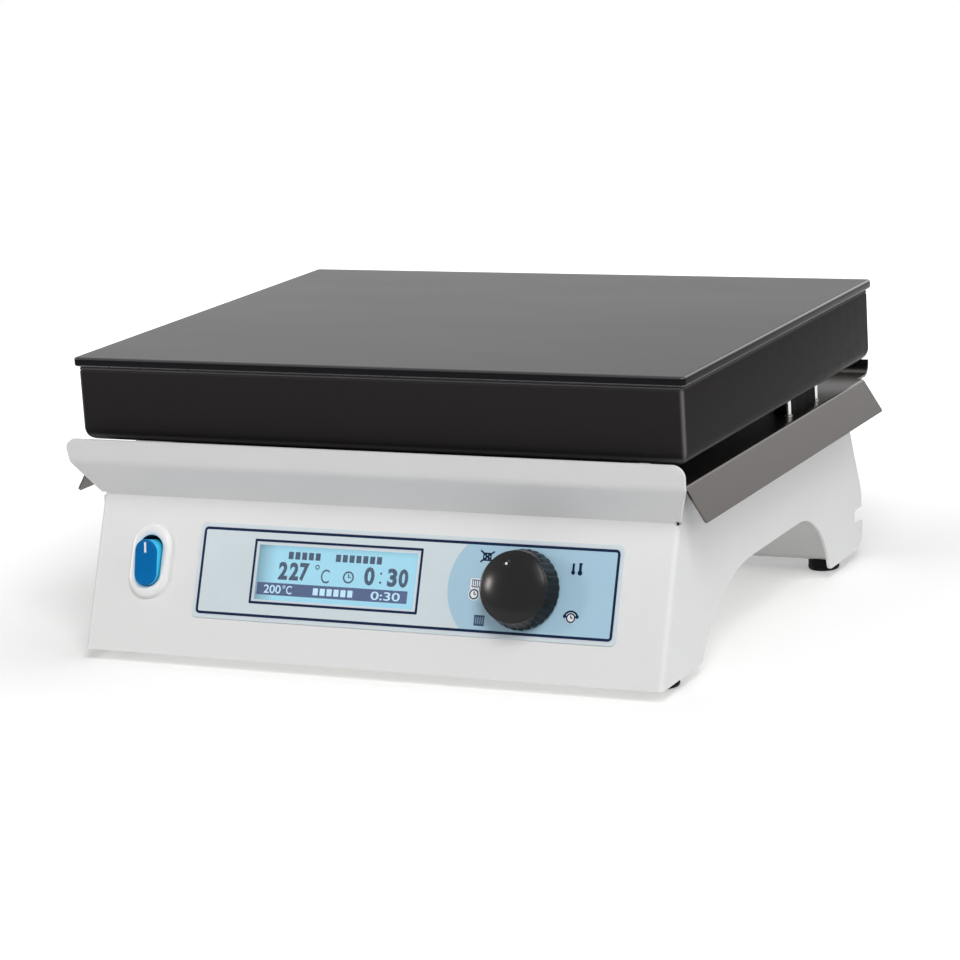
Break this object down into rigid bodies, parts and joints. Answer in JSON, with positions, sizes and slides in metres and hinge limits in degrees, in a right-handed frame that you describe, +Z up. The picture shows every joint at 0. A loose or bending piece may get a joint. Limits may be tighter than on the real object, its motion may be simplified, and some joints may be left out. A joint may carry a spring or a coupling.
{
  "type": "laboratory hot plate",
  "caption": "Bench-top laboratory hot plate: flat glass-ceramic plate on an insulated heater box over a drip shield, folded chassis with sloped control panel, turning knob and rocker switch.",
  "frame": {"origin": "middle of the whole object's footprint, on the surface it stands on", "axes": "+X to the right along the control panel, +Y to the back, +Z up; the control panel faces -Y"},
  "size_m": [0.291, 0.2512, 0.127],
  "materials": {
    "glass_ceramic": "smooth black glass-ceramic, fine satin sheen",
    "seal_rubber": "matt black silicone",
    "black_enamel": "satin black heat-proof coating",
    "fibre": "pressed ceramic fibre",
    "heater_alloy": "oxidised resistance ribbon",
    "stainless": "bright rolled stainless steel",
    "zinc_steel": "zinc-plated steel",
    "white_coating": "fine-textured white powder coating",
    "foot_rubber": "black rubber",
    "panel_film": "printed polyester film",
    "clear_window": "clear window of the film",
    "lcd": "lit liquid-crystal glass",
    "lcd_metal": "black pressed frame",
    "light_guide": "milky light guide",
    "board": "green circuit board",
    "knob_plastic": "satin black moulded plastic",
    "white_plastic": "white moulded plastic",
    "blue_plastic": "deep blue translucent plastic",
    "black_plastic": "matt black moulded plastic",
    "brass": "turned brass",
    "ceramic": "glazed ceramic",
    "lead_sleeve": "silicone-sleeved wire",
    "core_steel": "laminated core plates",
    "coil_tape": "taped copper winding",
    "can_aluminium": "sleeved aluminium can"
  },
  "bodies": {
    "root": {"glass_plate": "glass_ceramic", "glass_seal": "seal_rubber", "heater_pan": "black_enamel", "insulation_tray": "fibre", "heating_ribbon": "heater_alloy", "temperature_probe": "stainless", "standoffs": "zinc_steel", "edge_pins": "zinc_steel", "edge_blocks": "black_plastic", "lead_collar": "ceramic", "drip_shield": "stainless", "chassis_shell": "white_coating", "rear_panel": "white_coating", "base_plate": "zinc_steel", "foot_front_left": "foot_rubber", "foot_front_right": "foot_rubber", "foot_rear_left": "foot_rubber", "foot_rear_right": "foot_rubber", "overlay_film": "panel_film", "display_window": "clear_window", "lcd_frame": "lcd_metal", "lcd_glass": "lcd", "lcd_backlight": "light_guide", "control_board": "board", "board_spacers": "brass", "encoder_body": "zinc_steel", "encoder_nut": "zinc_steel", "switch_housing": "white_plastic", "switch_blades": "brass", "power_inlet": "black_plastic", "inlet_prongs": "brass", "power_board": "board", "power_spacers": "brass", "capacitors": "can_aluminium", "power_relay": "black_plastic", "transformer_core": "core_steel", "transformer_coil": "coil_tape", "terminal_block": "ceramic", "heater_leads": "lead_sleeve"},
    "knob": {"knob": "knob_plastic", "knob_dot": "white_plastic", "knob_insert": "brass", "encoder_shaft": "zinc_steel"},
    "rocker": {"rocker": "blue_plastic"}
  },
  "joints": [
    {"name": "knob_turn", "type": "hinge", "parent": "root", "child": "knob", "pos_m": [0.0687, -0.11809, 0.04225], "axis": [0, -0.9259, 0.3778], "continuous": true},
    {"name": "rocker_press", "type": "hinge", "parent": "root", "child": "rocker", "pos_m": [-0.1057, -0.10658, 0.04004], "axis": [-1, 0, 0], "range_deg": [0, 18]}
  ]
}
